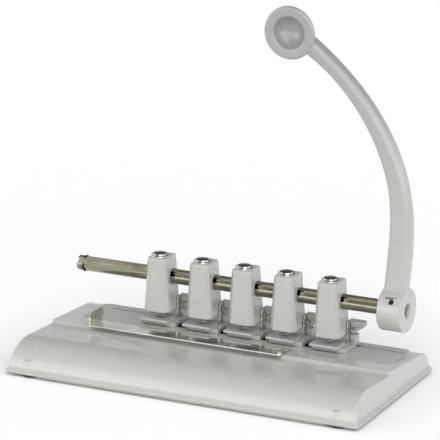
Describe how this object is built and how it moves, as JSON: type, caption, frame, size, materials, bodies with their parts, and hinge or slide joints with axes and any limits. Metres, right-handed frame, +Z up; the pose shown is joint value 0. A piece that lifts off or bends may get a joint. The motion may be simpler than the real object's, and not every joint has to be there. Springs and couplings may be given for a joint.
{
  "type": "multiple hole punch",
  "caption": "Desk punch with adjustable punching heads on a grooved drive shaft, a long swinging hand lever, and a sheet metal base with a chip pan.",
  "frame": {"origin": "middle of the base's outline, on the desk under the feet", "axes": "+X along the base towards the hand lever's hub, +Y towards the rear, away from the user, +Z up"},
  "size_m": [0.3174, 0.157, 0.3102],
  "materials": {
    "enamel": "gloss light warm grey enamel",
    "casting_paint": "gloss light warm grey enamel on a casting",
    "plated_strip": "nickel plated sheet, satin",
    "shaft_steel": "polished nickel plated rod",
    "cap_chrome": "bright plated",
    "tool_steel": "ground steel",
    "spring_steel": "drawn wire",
    "screw_steel": "zinc plated",
    "blued_steel": "dark oxide finish",
    "pan_sheet": "grey enamel on sheet steel",
    "foot_rubber": "matt black"
  },
  "bodies": {
    "base": {"base_shell": "enamel", "rubber_feet": "foot_rubber", "foot_screws": "screw_steel"},
    "chip_pan": {"chip_pan": "pan_sheet"},
    "paper_guide": {"paper_guide": "plated_strip"},
    "lever": {"lever": "casting_paint", "drive_shaft": "shaft_steel", "retaining_ring": "blued_steel", "set_screw": "blued_steel"},
    "head_1": {"head_body_1": "casting_paint", "head_cap_1": "cap_chrome", "die_bracket_1": "casting_paint", "head_screws_1": "screw_steel", "clamp_bolt_1": "screw_steel", "clamp_nut_1": "screw_steel", "lock_clip_1": "plated_strip"},
    "punch_1": {"punch_pin_1": "tool_steel", "return_spring_1": "spring_steel"},
    "lock_1": {"lock_lever_1": "casting_paint"},
    "head_2": {"head_body_2": "casting_paint", "head_cap_2": "cap_chrome", "die_bracket_2": "casting_paint", "head_screws_2": "screw_steel", "clamp_bolt_2": "screw_steel", "clamp_nut_2": "screw_steel", "lock_clip_2": "plated_strip"},
    "punch_2": {"punch_pin_2": "tool_steel", "return_spring_2": "spring_steel"},
    "lock_2": {"lock_lever_2": "casting_paint"},
    "head_3": {"head_body_3": "casting_paint", "head_cap_3": "cap_chrome", "die_bracket_3": "casting_paint", "head_screws_3": "screw_steel", "clamp_bolt_3": "screw_steel", "clamp_nut_3": "screw_steel", "lock_clip_3": "plated_strip"},
    "punch_3": {"punch_pin_3": "tool_steel", "return_spring_3": "spring_steel"},
    "lock_3": {"lock_lever_3": "casting_paint"},
    "head_4": {"head_body_4": "casting_paint", "head_cap_4": "cap_chrome", "die_bracket_4": "casting_paint", "head_screws_4": "screw_steel", "clamp_bolt_4": "screw_steel", "clamp_nut_4": "screw_steel", "lock_clip_4": "plated_strip"},
    "punch_4": {"punch_pin_4": "tool_steel", "return_spring_4": "spring_steel"},
    "lock_4": {"lock_lever_4": "casting_paint"},
    "head_5": {"head_body_5": "casting_paint", "head_cap_5": "cap_chrome", "die_bracket_5": "casting_paint", "head_screws_5": "screw_steel", "clamp_bolt_5": "screw_steel", "clamp_nut_5": "screw_steel", "lock_clip_5": "plated_strip"},
    "punch_5": {"punch_pin_5": "tool_steel", "return_spring_5": "spring_steel"},
    "lock_5": {"lock_lever_5": "casting_paint"}
  },
  "joints": [
    {"name": "lever_swing", "type": "hinge", "parent": "base", "child": "lever", "pos_m": [0, 0.0385, 0.065], "axis": [1, 0, 0], "range_deg": [0, 72]},
    {"name": "chip_pan_drop", "type": "slide", "parent": "base", "child": "chip_pan", "axis": [0, 0, -1], "range_m": [0, 0.03]},
    {"name": "paper_guide_slide", "type": "slide", "parent": "base", "child": "paper_guide", "axis": [1, 0, 0], "range_m": [-0.015, 0.025]},
    {"name": "head_1_slide", "type": "slide", "parent": "base", "child": "head_1", "axis": [1, 0, 0], "range_m": [-0.012, 0.0039]},
    {"name": "punch_1_stroke", "type": "slide", "parent": "head_1", "child": "punch_1", "axis": [0, 0, 1], "range_m": [-0.0073, 0], "deforming": ["return_spring_1"]},
    {"name": "lock_1_turn", "type": "hinge", "parent": "head_1", "child": "lock_1", "pos_m": [-0.0564, 0.051, 0.039], "axis": [0, 1, 0], "range_deg": [0, 35]},
    {"name": "head_2_slide", "type": "slide", "parent": "base", "child": "head_2", "axis": [1, 0, 0], "range_m": [-0.0039, 0.0039]},
    {"name": "punch_2_stroke", "type": "slide", "parent": "head_2", "child": "punch_2", "axis": [0, 0, 1], "range_m": [-0.0073, 0], "deforming": ["return_spring_2"]},
    {"name": "lock_2_turn", "type": "hinge", "parent": "head_2", "child": "lock_2", "pos_m": [-0.017, 0.051, 0.039], "axis": [0, 1, 0], "range_deg": [0, 35]},
    {"name": "head_3_slide", "type": "slide", "parent": "base", "child": "head_3", "axis": [1, 0, 0], "range_m": [-0.0039, 0.0039]},
    {"name": "punch_3_stroke", "type": "slide", "parent": "head_3", "child": "punch_3", "axis": [0, 0, 1], "range_m": [-0.0073, 0], "deforming": ["return_spring_3"]},
    {"name": "lock_3_turn", "type": "hinge", "parent": "head_3", "child": "lock_3", "pos_m": [0.0214, 0.051, 0.039], "axis": [0, 1, 0], "range_deg": [0, 35]},
    {"name": "head_4_slide", "type": "slide", "parent": "base", "child": "head_4", "axis": [1, 0, 0], "range_m": [-0.0039, 0.0039]},
    {"name": "punch_4_stroke", "type": "slide", "parent": "head_4", "child": "punch_4", "axis": [0, 0, 1], "range_m": [-0.0073, 0], "deforming": ["return_spring_4"]},
    {"name": "lock_4_turn", "type": "hinge", "parent": "head_4", "child": "lock_4", "pos_m": [0.0597, 0.051, 0.039], "axis": [0, 1, 0], "range_deg": [0, 35]},
    {"name": "head_5_slide", "type": "slide", "parent": "base", "child": "head_5", "axis": [1, 0, 0], "range_m": [-0.0039, 0.008]},
    {"name": "punch_5_stroke", "type": "slide", "parent": "head_5", "child": "punch_5", "axis": [0, 0, 1], "range_m": [-0.0073, 0], "deforming": ["return_spring_5"]},
    {"name": "lock_5_turn", "type": "hinge", "parent": "head_5", "child": "lock_5", "pos_m": [0.099, 0.051, 0.039], "axis": [0, 1, 0], "range_deg": [0, 35]}
  ],
  "couplings": [
    {"joint": "punch_1_stroke", "follows": "lever_swing", "m_per_rad": -0.00567},
    {"joint": "punch_2_stroke", "follows": "lever_swing", "m_per_rad": -0.00567},
    {"joint": "punch_3_stroke", "follows": "lever_swing", "m_per_rad": -0.00567},
    {"joint": "punch_4_stroke", "follows": "lever_swing", "m_per_rad": -0.00567},
    {"joint": "punch_5_stroke", "follows": "lever_swing", "m_per_rad": -0.00567}
  ]
}
